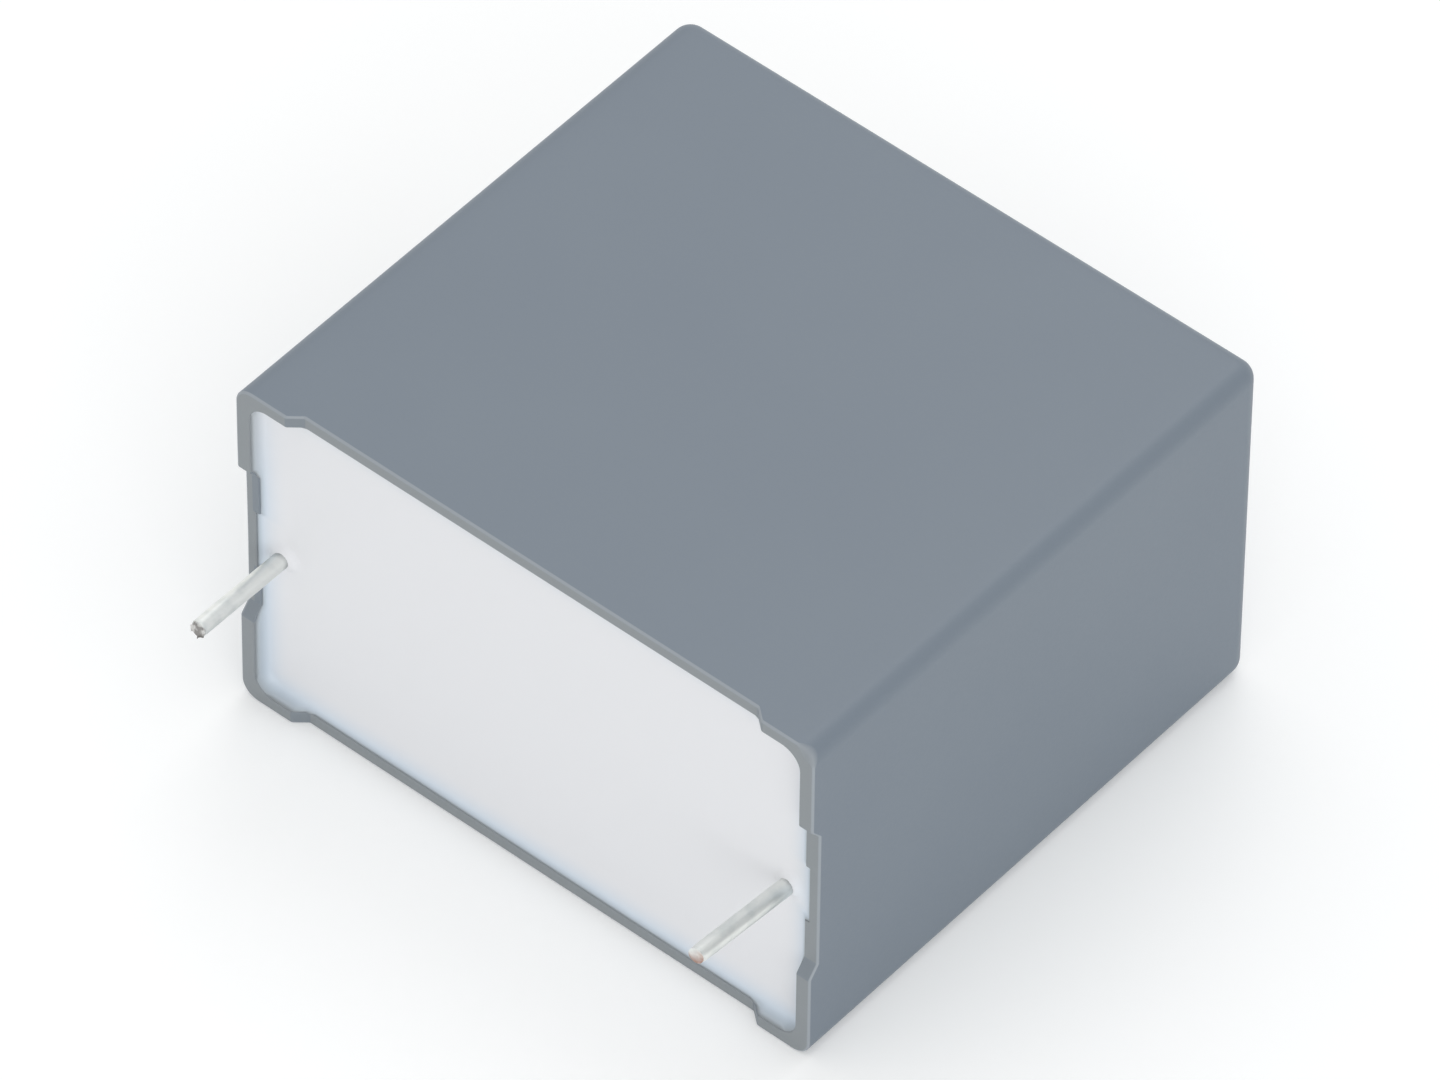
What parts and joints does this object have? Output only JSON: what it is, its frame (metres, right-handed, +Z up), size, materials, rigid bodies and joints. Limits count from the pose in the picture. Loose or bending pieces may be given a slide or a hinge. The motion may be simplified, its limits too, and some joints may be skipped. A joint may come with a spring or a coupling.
{
  "type": "box film capacitor",
  "caption": "Moulded box film capacitor: flattened film winding potted with pale resin in a grey-blue open-ended case with corner feet, and radial tinned wire leads.",
  "frame": {"origin": "midpoint between the two lead axes, in the plane of the corner feet that seat on a circuit board, at mid thickness", "axes": "+X from the left lead to the right lead, +Y from the feet to the closed end of the case, +Z up through the thickness, out of the wide face that lies uppermost"},
  "size_m": [0.0316, 0.034, 0.019],
  "materials": {
    "case_plastic": "moulded flame-retardant polyester, grey-blue, satin",
    "resin": "cast resin, pale grey-white, smooth and slightly glossy",
    "metallised_film": "metallised polypropylene film, wound and pressed flat",
    "sprayed_zinc": "flame-sprayed zinc, dull and grainy",
    "tinned_wire": "tinned copper wire, bright, sheared end"
  },
  "bodies": {
    "root": {"case": "case_plastic", "potting_resin": "resin", "film_winding": "metallised_film", "end_spray_left": "sprayed_zinc", "end_spray_right": "sprayed_zinc", "lead_left": "tinned_wire", "lead_right": "tinned_wire"}
  },
  "joints": []
}
